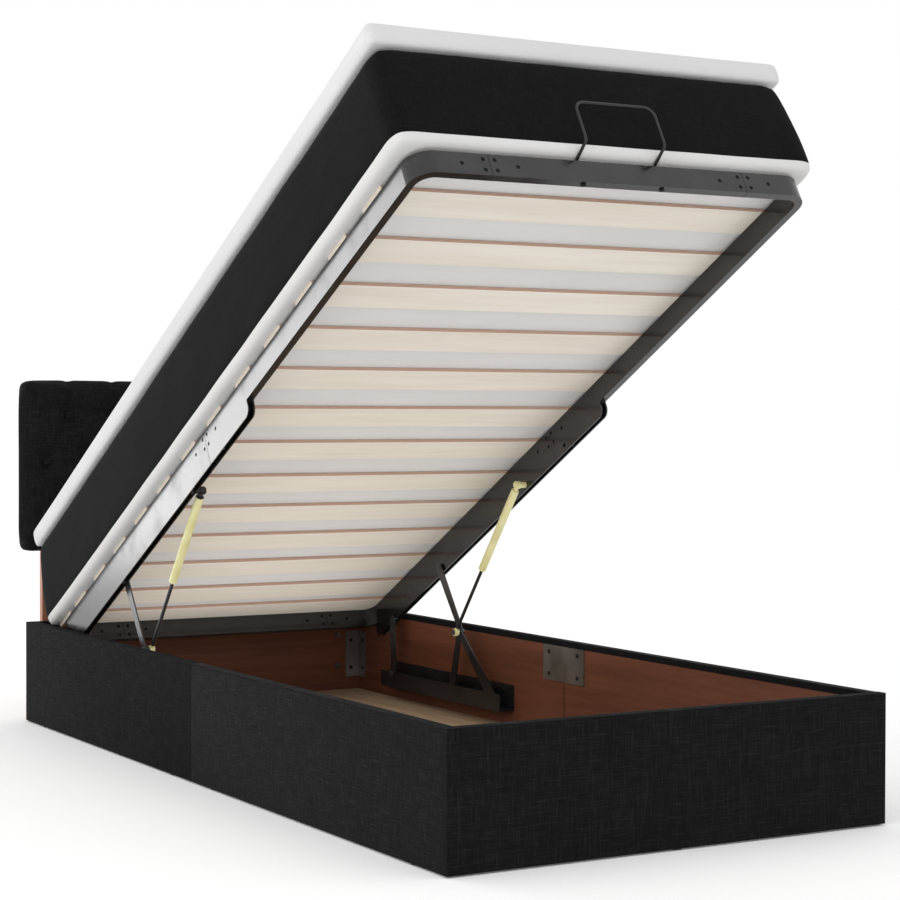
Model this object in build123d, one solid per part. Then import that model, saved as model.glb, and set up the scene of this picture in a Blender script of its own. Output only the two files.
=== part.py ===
from build123d import *
import math
import os

os.makedirs("parts", exist_ok=True)

# Single ottoman bed, shown raised. Millimetres.
# Origin: middle of the overall box, on the floor. +X is to the right seen from the foot,
# +Y runs from the foot to the headboard, +Z is up. The rest position is the raised platform.

# The mattress that the bed is made for, and the base box round it
mattress_width = 900
mattress_length = 2000
base_side_margin = 15
base_length_room = 60
glide_height = 3
panel_height = 240
panel_thickness = 25
cover_thickness = 3
cover_under = 1.5
cover_fold = 1
cover_fold_drop = 13
cover_edge_radius = 4
cover_seam_gap = 0.6
rail_seam_off_middle = 13
piece_gap = 0.5

# Floor of the box
cleat_size = 18
floor_thickness = 6
floor_gap = 1
batten_width = 60
batten_side_shares = [0.24, 0.76]
glide_radius = 10
glide_side_place_shares = [0.06, 0.46, 0.56, 0.94]
glide_batten_place_share = 0.5

# Joining plates, corner angles and screws of the base
joint_plate_length = 165
joint_plate_height = 80
joint_plate_thickness = 3
joint_plate_below_top = 13
joint_screw_spread = 116
joint_screw_edge = 15
corner_angle_leg = 40
corner_angle_thickness = 2.5
corner_angle_height = 120
corner_angle_from_floor = 60
screw_radius = 2.5
screw_head_radius = 5
screw_head_height = 1.6
screw_depth = 16
screw_clearance = 0.1
corner_screw_place = 25
corner_screw_shares = [0.2, 0.8]
rest_screw_shares = [0.25, 0.75]
rest_block_width = 60
rest_block_depth = 22
rest_block_height = 100
rest_block_place = 200
rest_gap = 0.3

# Headboard
headboard_height = 418
headboard_top = 831
headboard_thickness = 44
headboard_core = 18
headboard_wrap = 3
headboard_front_gap = 3
headboard_corner_radius = 22
headboard_edge_radius = 12
tuft_spacing = 116
tuft_row_drop = 115
tuft_first_row_drop = 84
tuft_rows = 3
tuft_mouth_radius = 26
tuft_depth = 9
button_radius = 10
button_height = 6
button_edge_radius = 2.5
seat_gap = 0.3
leg_width = 60
leg_thickness = 18
leg_below_top = 131
leg_side_inset = 59
spacer_height = 140
spacer_from_floor = 60
headboard_bolt_radius = 4
headboard_bolt_head_radius = 7.5
headboard_bolt_head_height = 5
headboard_bolt_inset = 30
headboard_nut_height = 5
headboard_bolt_clearance = 0.3
leg_screw_place_shares = [0.2, 0.5, 0.8]
leg_screw_depth = 12

# Raised and closed places of the platform. A point of the platform is told by
# its distance from the mattress head end towards the foot, and its height above
# the seam line between the mattress underside and its side band.
open_tilt = 29.2
open_seam_from_head = 112.5
open_seam_above_panel = 11.5
closed_seam_from_head = 39
closed_gap_over_panel = 5

# Mattress and topper
mattress_corner_radius = 32
mattress_under = 19
mattress_band = 189
mattress_draw_in = 3
mattress_top_radius = 8
topper_thickness = 52
topper_corner_radius = 16
topper_bottom_radius = 7
topper_top_radius = 11
topper_draw_in = 2

# Slats
slat_thickness = 8
slat_width = 78
slat_edge_radius = 2
slat_foot_edge_shares = [0.9355, 0.859, 0.7805, 0.702, 0.624, 0.5445, 0.4705, 0.3935, 0.32, 0.2475, 0.176,
                         0.105, 0.048]
rivet_radius = 2.5
rivet_head_radius = 5
rivet_head_height = 1.5
rivet_clearance = 0.1
rivet_head_sink = 0.2
rivet_tail_radius = 3.4
rivet_tail_height = 1.2

# Steel platform frame
frame_side_inset = 24
frame_foot_inset = 8
frame_head = 17
tube_width = 16
tube_height = 45
tube_wall = 1.5
tube_corner_radius = 45
foot_coupling_from_side = 151
side_coupling_from_head = 990.5
coupling_gap = 0.4
sleeve_length = 150
sleeve_clearance = 0.3
coupling_near_spread = 12
coupling_far_spread = 56.5
coupling_row_spread = 11
coupling_screw_radius = 2
coupling_head_radius = 3.9
coupling_hole_radius = 4.1
coupling_head_sink = 0.5
coupling_clearance = 0.1

# Pull handle
handle_bar_radius = 3
handle_half_width = 85
handle_stand_off = 46
handle_step = 14
handle_step_height = 22.9
handle_top = 74
handle_low_bend = 5
handle_mid_bend = 8
handle_top_bend = 20
handle_hole_clearance = 0.2
handle_screw_radius = 2
handle_screw_depth = 12
handle_screw_head_radius = 5
handle_screw_head_height = 2.5

# Lift rails under the side tubes
lift_rail_foot = 1205
lift_rail_head = 30
lift_rail_drop = 30
lift_rail_thickness = 3
lift_rail_end_radius = 20
lift_rail_hole_place = 1037
lift_rail_hole_height = 88
lift_rail_hole_radius = 5
lift_bolt_places = [80, 340, 600, 850, 1150]
lift_bolt_radius = 3
lift_bolt_head_radius = 4
lift_bolt_head_height = 3
lift_bolt_reach = 5

# Linkage
front_pivot_from_head = 620
front_pivot_below_top = 13
front_link_depth = 90
rear_link_place = 130
rear_link_depth = 100
rear_pivot_below = 120
strut_place = 850
strut_depth = 90
link_thickness = 3
link_gap = 0.3
link_rear_radius = 13
link_front_low_radius = 9
link_front_top_radius = 12
lift_tab_radius = 14
web_thickness = 3
web_to_frame = 8
web_to_link = 2
pivot_radius = 5
pivot_clearance = 0.1
pivot_small_radius = 4
pivot_small_clearance = 0.05
pivot_collar_radius = 7
pivot_head_radius = 8
pivot_tail_height = 2.5

# Base brackets
bracket_bottom = 60
bracket_rail_height = 40
bracket_flange_height = 60
bracket_thickness = 3
bracket_foot_end_from_head = 805
bracket_head_end_from_head = 225
bracket_nose_radius = 9
bracket_front_leg_from_head = 783
bracket_front_leg_radius = 16.5
bracket_rear_leg_from_head = 580
bracket_rear_leg_radius = 14
bracket_boss_radius = 16
bracket_leg_foot_height = 18
bracket_screws_from_head = [760, 620, 420, 270]
bracket_screw_height = 45

# Gas struts
strut_radius = 9
strut_wall = 1.5
strut_rod_radius = 4
strut_rod_length = 228
strut_piston_radius = 7.4
strut_piston_height = 12
strut_guide_height = 12
strut_guide_clearance = 0.1
strut_cap_height = 5
strut_tube_start = 16
strut_tube_end = 256
strut_eye_radius = 9
strut_eye_width = 10
strut_eye_hole_clearance = 0.1
strut_neck_radius = 4.8
strut_neck_length = 16
strut_side_gap = 0.5
strut_pin_head = 2.5
strut_collar_radius = 7

# One overrun for all cuts
cut = 5

# Worked-out places
bed_width = mattress_width + 2 * base_side_margin
base_length = mattress_length + base_length_room
half_width = bed_width / 2
overall_length = base_length + headboard_front_gap + headboard_thickness + leg_thickness
foot_y = -overall_length / 2
base_head_y = foot_y + base_length
rail_seam_from_foot = base_length / 2 + rail_seam_off_middle
panel_bottom = glide_height
panel_top = glide_height + panel_height
inner_x = half_width - panel_thickness
inner_foot_y = foot_y + panel_thickness
inner_head_y = base_head_y - panel_thickness
board_bottom = panel_bottom + cover_under
board_top = panel_top - cover_thickness
cleat_top = glide_height + cleat_size
floor_top = cleat_top + floor_thickness
seam_y = foot_y + rail_seam_from_foot
headboard_front_y = base_head_y + headboard_front_gap
headboard_back_y = headboard_front_y + headboard_thickness
headboard_bottom = headboard_top - headboard_height
spacer_thickness = headboard_back_y - base_head_y
leg_top = headboard_top - leg_below_top
leg_outer_place = half_width - leg_side_inset

open_seam_from_foot = base_length - open_seam_from_head
open_seam_height = panel_top + open_seam_above_panel
closed_seam_from_foot = base_length - closed_seam_from_head
closed_seam_height = panel_top + mattress_under + closed_gap_over_panel

frame_width = mattress_width - 2 * frame_side_inset
frame_foot = mattress_length - frame_foot_inset
slat_foot_edges = [mattress_length * share for share in slat_foot_edge_shares]
frame_half = frame_width / 2
foot_coupling_place = frame_half - foot_coupling_from_side
side_coupling_place = side_coupling_from_head
tube_inner = frame_half - tube_width
tube_top = -mattress_under - slat_thickness
tube_bottom = tube_top - tube_height
lift_flange_x = tube_inner
web_outer = tube_inner - web_to_frame
web_inner = web_outer - web_thickness
link_inner = web_outer + web_to_link
link_outer = link_inner + link_thickness
stud_end = tube_inner - link_gap
strut_x = web_inner - strut_side_gap - strut_radius


def open_place(s, n):
    a = math.radians(open_tilt)
    y = foot_y + open_seam_from_foot - s * math.cos(a) + n * math.sin(a)
    z = open_seam_height + s * math.sin(a) + n * math.cos(a)
    return y, z


def closed_place(s, n):
    return foot_y + closed_seam_from_foot - s, closed_seam_height + n


# Linkage points, in the Y-Z plane. The front pivot carries the front link and the strut rod.
front_pivot = (base_head_y - front_pivot_from_head, panel_top - front_pivot_below_top)


def link_place_on_platform():
    # The place along the platform that is as far from the front pivot raised as closed.
    a = math.radians(open_tilt)
    raised = open_place(0, -front_link_depth)
    closed = closed_place(0, -front_link_depth)
    e = closed[0] - front_pivot[0]
    f = closed[1] - front_pivot[1]
    g = raised[0] - front_pivot[0]
    h = raised[1] - front_pivot[1]
    return (e * e + f * f - g * g - h * h) / (2 * (e - g * math.cos(a) + h * math.sin(a)))


front_link_place = link_place_on_platform()
front_top_raised = open_place(front_link_place, -front_link_depth)
front_top_closed = closed_place(front_link_place, -front_link_depth)
rear_top_raised = open_place(rear_link_place, -rear_link_depth)
rear_top_closed = closed_place(rear_link_place, -rear_link_depth)
rear_chord = math.dist(rear_top_raised, rear_top_closed)
rear_along = [(c - r) / rear_chord for r, c in zip(rear_top_raised, rear_top_closed)]
rear_pivot = (
    (rear_top_raised[0] + rear_top_closed[0]) / 2 + rear_along[1] * rear_pivot_below,
    (rear_top_raised[1] + rear_top_closed[1]) / 2 - rear_along[0] * rear_pivot_below,
)
strut_top_raised = open_place(strut_place, -strut_depth)
strut_top_closed = closed_place(strut_place, -strut_depth)
strut_raised_length = math.dist(front_pivot, strut_top_raised)
strut_closed_length = math.dist(front_pivot, strut_top_closed)


def angle(a, b):
    return math.degrees(math.atan2(b[1] - a[1], b[0] - a[0]))


# Small shape helpers
def block(x0, x1, y0, y1, z0, z1):
    middle = Pos((x0 + x1) / 2, (y0 + y1) / 2, (z0 + z1) / 2)
    return middle * Box(x1 - x0, y1 - y0, z1 - z0)


def bar_x(radius, x0, x1, y, z):
    return Pos((x0 + x1) / 2, y, z) * Rot(0, 90, 0) * Cylinder(radius, x1 - x0)


def bar_y(radius, y0, y1, x, z):
    return Pos(x, (y0 + y1) / 2, z) * Rot(90, 0, 0) * Cylinder(radius, y1 - y0)


def bar_z(radius, z0, z1, x, y):
    return Pos(x, y, (z0 + z1) / 2) * Cylinder(radius, z1 - z0)


def other_side(shape):
    return shape.mirror(Plane.YZ)


def both_sides(shapes):
    return shapes + [other_side(s) for s in shapes]


def plate(face, x0, x1):
    # A face drawn in Y-Z, given its thickness along X.
    return Pos(x0, 0, 0) * extrude(Plane.YZ * face, amount=x1 - x0)


def disc(radius, y, z):
    return Pos(y, z) * Circle(radius)


def rect(y0, y1, z0, z1):
    return Pos((y0 + y1) / 2, (z0 + z1) / 2) * Rectangle(y1 - y0, z1 - z0)


def taper(p, r, q, s):
    # The outline round two discs.
    return make_hull(disc(r, *p).edges() + disc(s, *q).edges())


def save(node, shapes):
    solids = []
    for shape in shapes:
        solids.extend(shape.solids())
    export_step(Compound(solids), "parts/" + node + ".step")


def on_platform(shape):
    # Platform pieces are drawn flat, Y towards the head from the mattress head end, Z from the seam.
    place = Pos(0, foot_y + open_seam_from_foot, open_seam_height)
    return place * Rot(-open_tilt, 0, 0) * shape


def save_platform(node, shapes):
    save(node, [on_platform(shape) for shape in shapes])


# A screw along X or Y whose head seats on a face
def screw_x(x, y, z, depth):
    shank = bar_x(screw_radius, x, x + depth, y, z)
    head = bar_x(screw_head_radius, x - screw_head_height, x, y, z)
    top = head.edges().filter_by(GeomType.CIRCLE).sort_by(Axis.X)[0]
    return shank + fillet(top, screw_head_height / 2)


def screw_y(x, y, z, depth, towards):
    ys = sorted((y, y + towards * depth))
    shank = bar_y(screw_radius, ys[0], ys[1], x, z)
    ys = sorted((y, y - towards * screw_head_height))
    head = bar_y(screw_head_radius, ys[0], ys[1], x, z)
    top = head.edges().filter_by(GeomType.CIRCLE).sort_by(Axis.Y)[0 if towards > 0 else -1]
    return shank + fillet(top, screw_head_height / 2)


# Where the screws of the right side rail sit: the face under the head, and its place
def side_screws():
    places = []
    plate_top = panel_top - joint_plate_below_top
    for y in (seam_y - joint_screw_spread / 2, seam_y + joint_screw_spread / 2):
        for z in (plate_top - joint_screw_edge, plate_top - joint_plate_height + joint_screw_edge):
            places.append((inner_x - joint_plate_thickness, y, z))
    for y in (inner_foot_y + corner_screw_place, inner_head_y - corner_screw_place):
        for share in corner_screw_shares:
            z = corner_angle_from_floor + corner_angle_height * share
            places.append((inner_x - corner_angle_thickness, y, z))
    for from_head in bracket_screws_from_head:
        places.append((inner_x - bracket_thickness, base_head_y - from_head, bracket_bottom + bracket_screw_height))
    return places


# The same for the foot and head panels, with how deep each goes and which way
def end_screws(towards):
    inner_y = inner_foot_y if towards < 0 else inner_head_y
    places = []
    for side in (-1, 1):
        for share in corner_screw_shares:
            z = corner_angle_from_floor + corner_angle_height * share
            x = side * (inner_x - corner_screw_place)
            places.append((x, inner_y - towards * corner_angle_thickness, z, screw_depth))
        if towards < 0:
            for share in rest_screw_shares:
                z = rest_block_top() - rest_block_height * share
                places.append((side * rest_block_place, inner_y - towards * rest_block_depth, z,
                               rest_block_depth + screw_depth - corner_angle_thickness))
    return places


def rest_block_top():
    return closed_seam_height + tube_bottom - rest_gap


def side_screw_holes():
    radius = screw_radius + screw_clearance
    return [bar_x(radius, x - cut, x + screw_depth + screw_clearance, y, z) for x, y, z in side_screws()]


def end_screw_holes(towards):
    radius = screw_radius + screw_clearance
    holes = []
    for x, y, z, depth in end_screws(towards):
        ys = sorted((y - towards * cut, y + towards * (depth + screw_clearance)))
        holes.append(bar_y(radius, ys[0], ys[1], x, z))
    return holes


def base_screws():
    right = [screw_x(x, y, z, screw_depth) for x, y, z in side_screws()]
    ends = []
    for towards in (-1, 1):
        ends.extend(screw_y(x, y, z, depth, towards) for x, y, z, depth in end_screws(towards))
    save("base_screws", both_sides(right) + ends)


# Side rails: two boards a side, each with its cover folded over the top edge and under the board
def side_rail(y0, y1, wrap_at_start, wrap_at_end):
    start = y0 + (cover_under if wrap_at_start else 0)
    end = y1 - (cover_under if wrap_at_end else 0)
    board = block(inner_x, half_width - cover_thickness, start, end, board_bottom, board_top)
    solid_board = board
    board = board - [h for h in side_screw_holes() if start < h.center().Y < end]
    skin = block(inner_x, half_width, y0, y1, panel_bottom, panel_top)
    top_edge = skin.edges().filter_by(Axis.Y).group_by(Axis.Z)[-1].sort_by(Axis.X)[-1]
    skin = fillet(top_edge, cover_edge_radius)
    seam = [e for e in skin.edges().filter_by(Axis.Z).group_by(Axis.X)[-1]
            if (wrap_at_start and e.center().Y < (y0 + y1) / 2)
            or (wrap_at_end and e.center().Y > (y0 + y1) / 2)]
    if seam:
        skin = fillet(seam, cover_under)
    fold = block(inner_x - cover_fold, inner_x, y0, y1, panel_top - cover_fold_drop, panel_top)
    return board, skin - solid_board + fold


def side_rails():
    front = side_rail(inner_foot_y, seam_y - cover_seam_gap / 2, False, True)
    rear = side_rail(seam_y + cover_seam_gap / 2, inner_head_y, True, False)
    for place, rail in (("front", front), ("rear", rear)):
        for piece, shape in zip(("board", "cover"), rail):
            save("side_rail_" + place + "_" + piece + "_right", [shape])
            save("side_rail_" + place + "_" + piece + "_left", [other_side(shape)])


# Foot and head panels span the full width
def end_panel(outer_y, inward):
    inner_y = outer_y + inward * panel_thickness
    board_y = outer_y + inward * cover_thickness
    ys = sorted((board_y, inner_y))
    side = half_width - cover_thickness
    board = block(-side, side, ys[0], ys[1], board_bottom, board_top)
    ys = sorted((outer_y, inner_y))
    skin = block(-half_width, half_width, ys[0], ys[1], panel_bottom, panel_top)
    front = [e for e in skin.edges() if abs(e.center().Y - outer_y) < cover_fold]
    front = [e for e in front if e.center().Z > panel_bottom + cover_fold]
    skin = fillet(front, cover_edge_radius)
    ys = sorted((inner_y, inner_y + inward * cover_fold))
    fold_x = inner_x - cover_fold - piece_gap
    fold = block(-fold_x, fold_x, ys[0], ys[1], panel_top - cover_fold_drop, panel_top)
    return board, skin - board + fold


def bolt_line(x):
    heights = (spacer_from_floor + headboard_bolt_inset,
               spacer_from_floor + spacer_height - headboard_bolt_inset)
    return [(x, z) for z in heights]


def headboard_bolt_places():
    x = leg_outer_place - leg_width / 2
    return bolt_line(x) + bolt_line(-x)


def headboard_bolt_holes(y0, y1):
    radius = headboard_bolt_radius + headboard_bolt_clearance
    return [bar_y(radius, y0 - cut, y1 + cut, x, z) for x, z in headboard_bolt_places()]


def end_panels():
    board, skin = end_panel(foot_y, 1)
    save("foot_panel_board", [board - end_screw_holes(-1)])
    save("foot_panel_cover", [skin])
    board, skin = end_panel(base_head_y, -1)
    holes = headboard_bolt_holes(inner_head_y, base_head_y)
    save("head_panel_board", [board - holes - end_screw_holes(1)])
    save("head_panel_cover", [skin - holes])


# Floor of the box: cleats, battens and two panels, all on small glides
def floor():
    end = inner_x - piece_gap
    side_cleat = block(inner_x - cleat_size, inner_x, inner_foot_y + cleat_size, inner_head_y - cleat_size,
                       glide_height, cleat_top)
    foot_cleat = block(-end, end, inner_foot_y, inner_foot_y + cleat_size, glide_height, cleat_top)
    head_cleat = block(-end, end, inner_head_y - cleat_size, inner_head_y, glide_height, cleat_top)
    save("floor_cleats", both_sides([side_cleat]) + [foot_cleat, head_cleat])
    batten_x = inner_x - cleat_size - piece_gap
    battens = []
    glides = []
    batten_places = [foot_y + base_length * share for share in batten_side_shares] + [seam_y]
    for y in batten_places:
        battens.append(block(-batten_x, batten_x, y - batten_width / 2, y + batten_width / 2,
                             glide_height, cleat_top))
        glides.extend(both_sides([bar_z(glide_radius, 0, glide_height,
                                        batten_x * glide_batten_place_share, y)]))
    save("floor_cross_battens", battens)
    for share in glide_side_place_shares:
        glides.extend(both_sides([bar_z(glide_radius, 0, glide_height, half_width - panel_thickness / 2,
                                        foot_y + base_length * share)]))
    for y in (foot_y + panel_thickness / 2, base_head_y - panel_thickness / 2):
        glides.append(bar_z(glide_radius, 0, glide_height, 0, y))
    save("glides", glides)
    x = inner_x - floor_gap
    middle = seam_y
    save("floor_panel_front", [block(-x, x, inner_foot_y + floor_gap, middle - floor_gap / 2,
                                     cleat_top, floor_top)])
    save("floor_panel_rear", [block(-x, x, middle + floor_gap / 2, inner_head_y - floor_gap,
                                    cleat_top, floor_top)])


# Plates over the rail seams, angles in the corners, rests that carry the closed platform
def base_fittings():
    plate_top = panel_top - joint_plate_below_top
    joint = block(inner_x - joint_plate_thickness, inner_x, seam_y - joint_plate_length / 2,
                  seam_y + joint_plate_length / 2, plate_top - joint_plate_height, plate_top)
    joint = joint - side_screw_holes()
    save("rail_joint_plates", both_sides([joint]))
    angles = []
    z0 = corner_angle_from_floor
    z1 = z0 + corner_angle_height
    for inner_y, inward, towards in ((inner_foot_y, 1, -1), (inner_head_y, -1, 1)):
        ys = sorted((inner_y, inner_y + inward * corner_angle_leg))
        side_leg = block(inner_x - corner_angle_thickness, inner_x, ys[0], ys[1], z0, z1)
        ys = sorted((inner_y, inner_y + inward * corner_angle_thickness))
        end_leg = block(inner_x - corner_angle_leg, inner_x, ys[0], ys[1], z0, z1)
        angles.append(side_leg + end_leg - side_screw_holes() - end_screw_holes(towards))
    save("corner_angles", both_sides(angles))
    top = rest_block_top()
    rest = block(rest_block_place - rest_block_width / 2, rest_block_place + rest_block_width / 2,
                 inner_foot_y, inner_foot_y + rest_block_depth, top - rest_block_height, top)
    save("frame_rest_blocks", both_sides([rest - end_screw_holes(-1)]))


# Headboard: core board, buttoned pad wrapped round its edges, two legs bolted to the base
def tuft_places():
    places = []
    for row in range(tuft_rows):
        z = headboard_top - tuft_first_row_drop - tuft_row_drop * row
        offset = tuft_spacing / 2 * (row % 2)
        count = int((half_width - tuft_mouth_radius - offset) / tuft_spacing)
        for k in range(-count - 1, count + 1):
            x = tuft_spacing * k + offset
            if abs(x) < half_width - tuft_mouth_radius:
                places.append((x, z))
    return places


def headboard():
    middle = (headboard_top + headboard_bottom) / 2
    core_front = headboard_back_y - headboard_core
    outline = RectangleRounded(bed_width, headboard_height, headboard_corner_radius)
    face_plane = Plane(origin=(0, headboard_back_y, middle), x_dir=(1, 0, 0), z_dir=(0, -1, 0))
    pad = extrude(face_plane * outline, amount=headboard_thickness)
    pad = fillet(pad.edges().group_by(Axis.Y)[0], headboard_edge_radius)
    core_outline = RectangleRounded(bed_width - 2 * headboard_wrap, headboard_height - 2 * headboard_wrap,
                                    headboard_corner_radius - headboard_wrap)
    core = extrude(face_plane * core_outline, amount=headboard_core)
    pad = pad - core
    ball = (tuft_mouth_radius ** 2 + tuft_depth ** 2) / (2 * tuft_depth)
    seat = tuft_depth - (ball - math.sqrt(ball ** 2 - button_radius ** 2)) - seat_gap
    buttons = []
    tool = [Pos(x, headboard_front_y + tuft_depth - ball, z) * Sphere(ball) for x, z in tuft_places()]
    pad = pad - tool
    for x, z in tuft_places():
        back = headboard_front_y + seat
        button = bar_y(button_radius, back - button_height, back, x, z)
        rim = button.edges().filter_by(GeomType.CIRCLE).sort_by(Axis.Y)[0]
        buttons.append(fillet(rim, button_edge_radius))
    save("headboard_pad", [pad])
    save("headboard_buttons", buttons)

    leg = block(leg_outer_place - leg_width, leg_outer_place, headboard_back_y,
                headboard_back_y + leg_thickness, 0, leg_top)
    x = leg_outer_place - leg_width / 2
    sunk = headboard_bolt_head_height + headboard_bolt_clearance
    back = headboard_back_y + leg_thickness
    bolts = []
    holes = []
    sinks = []
    for _, z in bolt_line(x):
        bolts.append(bar_y(headboard_bolt_radius, inner_head_y - headboard_nut_height * 2, back - sunk, x, z)
                     + bar_y(headboard_bolt_head_radius, back - sunk, back - headboard_bolt_clearance, x, z)
                     + bar_y(headboard_bolt_head_radius, inner_head_y - headboard_nut_height, inner_head_y, x, z))
        holes.append(bar_y(headboard_bolt_radius + headboard_bolt_clearance, base_head_y - cut, back + cut, x, z))
        sinks.append(bar_y(headboard_bolt_head_radius + headboard_bolt_clearance, back - sunk, back + cut, x, z))
    for share in leg_screw_place_shares:
        z = headboard_bottom + (leg_top - headboard_bottom) * share
        front = headboard_back_y - leg_screw_depth
        bolts.append(bar_y(screw_radius, front, back - sunk, x, z)
                     + bar_y(headboard_bolt_head_radius, back - sunk, back - headboard_bolt_clearance, x, z))
        holes.append(bar_y(screw_radius + screw_clearance, front - screw_clearance, back + cut, x, z))
        sinks.append(bar_y(headboard_bolt_head_radius + headboard_bolt_clearance, back - sunk, back + cut, x, z))
    leg = leg - holes - sinks
    spacer = block(leg_outer_place - leg_width, leg_outer_place, base_head_y, headboard_back_y,
                   spacer_from_floor, spacer_from_floor + spacer_height) - holes
    save("headboard_core", [core - holes - [other_side(h) for h in holes]])
    save("headboard_leg_right", [leg])
    save("headboard_leg_left", [other_side(leg)])
    save("headboard_spacers", both_sides([spacer]))
    save("headboard_bolts", both_sides(bolts))


# Base brackets: flange on the rail, shelf, and an upright web that carries both fixed pivots
def base_bracket():
    y0 = base_head_y - bracket_foot_end_from_head
    y1 = base_head_y - bracket_head_end_from_head
    z0 = bracket_bottom
    leg_z = bracket_bottom + bracket_leg_foot_height
    web = rect(y0, y1, z0, z0 + bracket_rail_height)
    web += taper(front_pivot, bracket_nose_radius, (base_head_y - bracket_front_leg_from_head, leg_z),
                 bracket_front_leg_radius)
    web += taper(front_pivot, bracket_nose_radius, (base_head_y - bracket_rear_leg_from_head, leg_z),
                 bracket_rear_leg_radius)
    web += disc(bracket_boss_radius, *rear_pivot)
    pin_hole = pivot_small_radius + pivot_small_clearance
    web -= disc(pin_hole, *front_pivot) + disc(pin_hole, *rear_pivot)
    bracket = plate(web, web_inner, web_outer)
    bracket += block(web_inner, inner_x, y0, y1, z0, z0 + bracket_thickness)
    bracket += block(inner_x - bracket_thickness, inner_x, y0, y1, z0, z0 + bracket_flange_height)
    bracket -= side_screw_holes()
    save("base_bracket_right", [bracket])
    save("base_bracket_left", [other_side(bracket)])


def stepped_pin(steps, y, z):
    # Runs of one radius along X, each (radius, from, to).
    pin = None
    for radius, x0, x1 in steps:
        run = bar_x(radius, x0, x1, y, z)
        pin = run if pin is None else pin + run
    return pin


# Pins fixed in the brackets: the front one carries the link outside the web and the strut inside it
def bracket_pins():
    eye_inner = strut_x - strut_eye_width / 2
    eye_outer = strut_x + strut_eye_width / 2
    front = stepped_pin([
        (pivot_collar_radius, eye_inner - link_gap - strut_pin_head, eye_inner - link_gap),
        (pivot_small_radius, eye_inner - link_gap, web_outer),
        (pivot_collar_radius, eye_outer + link_gap, web_inner),
        (pivot_collar_radius, web_outer, link_inner - link_gap),
        (pivot_radius, link_inner - link_gap, link_outer + link_gap),
        (pivot_collar_radius, link_outer + link_gap, stud_end)], *front_pivot)
    rear = stepped_pin([
        (pivot_collar_radius, web_inner - pivot_tail_height, web_inner),
        (pivot_small_radius, web_inner, web_outer),
        (pivot_collar_radius, web_outer, link_inner - link_gap),
        (pivot_radius, link_inner - link_gap, link_outer + link_gap),
        (pivot_head_radius, link_outer + link_gap, stud_end)], *rear_pivot)
    save("bracket_pivot_pins", both_sides([front, rear]))


# Links: flat bars between a bracket pivot and the lift rail
def links():
    hole = pivot_radius + pivot_clearance
    rear = taper(rear_pivot, link_rear_radius, rear_top_raised, link_rear_radius)
    rear -= disc(hole, *rear_pivot) + disc(hole, *rear_top_raised)
    rear = plate(rear, link_inner, link_outer)
    front = taper(front_pivot, link_front_low_radius, front_top_raised, link_front_top_radius)
    front -= disc(hole, *front_pivot) + disc(pivot_small_radius + pivot_small_clearance, *front_top_raised)
    front = plate(front, link_inner, link_outer)
    # The stud at the top end is riveted in the link and ends just short of the lift rail.
    stud = stepped_pin([
        (pivot_collar_radius, web_outer + link_gap, link_inner),
        (pivot_small_radius, link_inner, link_outer),
        (pivot_collar_radius, link_outer, stud_end)], *front_top_raised)
    save("rear_link_right", [rear])
    save("rear_link_left", [other_side(rear)])
    save("front_link_right", [front, stud])
    save("front_link_left", [other_side(front), other_side(stud)])


# Gas struts, drawn along Z from the low eye and then leaned to the raised place
def strut_eye(hole_radius, neck_from, neck_to):
    eye = bar_x(strut_eye_radius, -strut_eye_width / 2, strut_eye_width / 2, 0, 0)
    eye += bar_z(strut_neck_radius, neck_from, neck_to, 0, 0)
    return eye - bar_x(hole_radius, -strut_eye_width / 2 - cut, strut_eye_width / 2 + cut, 0, 0)


def struts():
    lean = angle(front_pivot, strut_top_raised) - 90
    place = Pos(strut_x, *front_pivot) * Rot(lean, 0, 0)
    low_eye = strut_eye(pivot_small_radius + strut_eye_hole_clearance, 0, strut_neck_length)
    rod = bar_z(strut_rod_radius, strut_neck_length, strut_rod_length, 0, 0)
    rod += bar_z(strut_piston_radius, strut_rod_length - strut_piston_height, strut_rod_length, 0, 0)
    top = Pos(0, 0, strut_raised_length)
    tube = bar_z(strut_radius, -strut_tube_end, -strut_tube_start, 0, 0)
    tube -= bar_z(strut_radius - strut_wall, -strut_tube_end + strut_guide_height,
                  -strut_tube_start - strut_cap_height, 0, 0)
    tube -= bar_z(strut_rod_radius + strut_guide_clearance, -strut_tube_end - cut,
                  -strut_tube_end + strut_guide_height + cut, 0, 0)
    rim = tube.edges().filter_by(GeomType.CIRCLE).group_by(Axis.Z)
    rim = [e for e in rim[0] + rim[-1] if abs(e.radius - strut_radius) < strut_guide_clearance]
    tube = fillet(rim, strut_wall)
    top_eye = strut_eye(pivot_small_radius + pivot_small_clearance, -strut_tube_start, 0)
    stud = stepped_pin([
        (strut_collar_radius, -strut_eye_width / 2 - strut_pin_head, -strut_eye_width / 2),
        (pivot_small_radius, -strut_eye_width / 2, strut_eye_width / 2),
        (strut_collar_radius, strut_eye_width / 2, stud_end - strut_x)], 0, 0)
    rod_side = [place * low_eye, place * rod]
    tube_side = [place * top * tube, place * top * top_eye, place * top * stud]
    save("strut_rod_right", rod_side)
    save("strut_rod_left", [other_side(s) for s in rod_side])
    save("strut_cylinder_right", tube_side)
    save("strut_cylinder_left", [other_side(s) for s in tube_side])


# Platform frame: one ring of square-edged tube with rounded corners, made in six joined lengths
def frame_ring(grow, low, high):
    length = frame_foot - frame_head
    middle = -(frame_foot + frame_head) / 2
    outer = RectangleRounded(frame_width + 2 * grow, length + 2 * grow, tube_corner_radius + grow)
    inner = RectangleRounded(frame_width - 2 * tube_width - 2 * grow, length - 2 * tube_width - 2 * grow,
                             tube_corner_radius - tube_width - grow)
    return Pos(0, middle, low) * extrude(outer - inner, amount=high - low)


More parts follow.
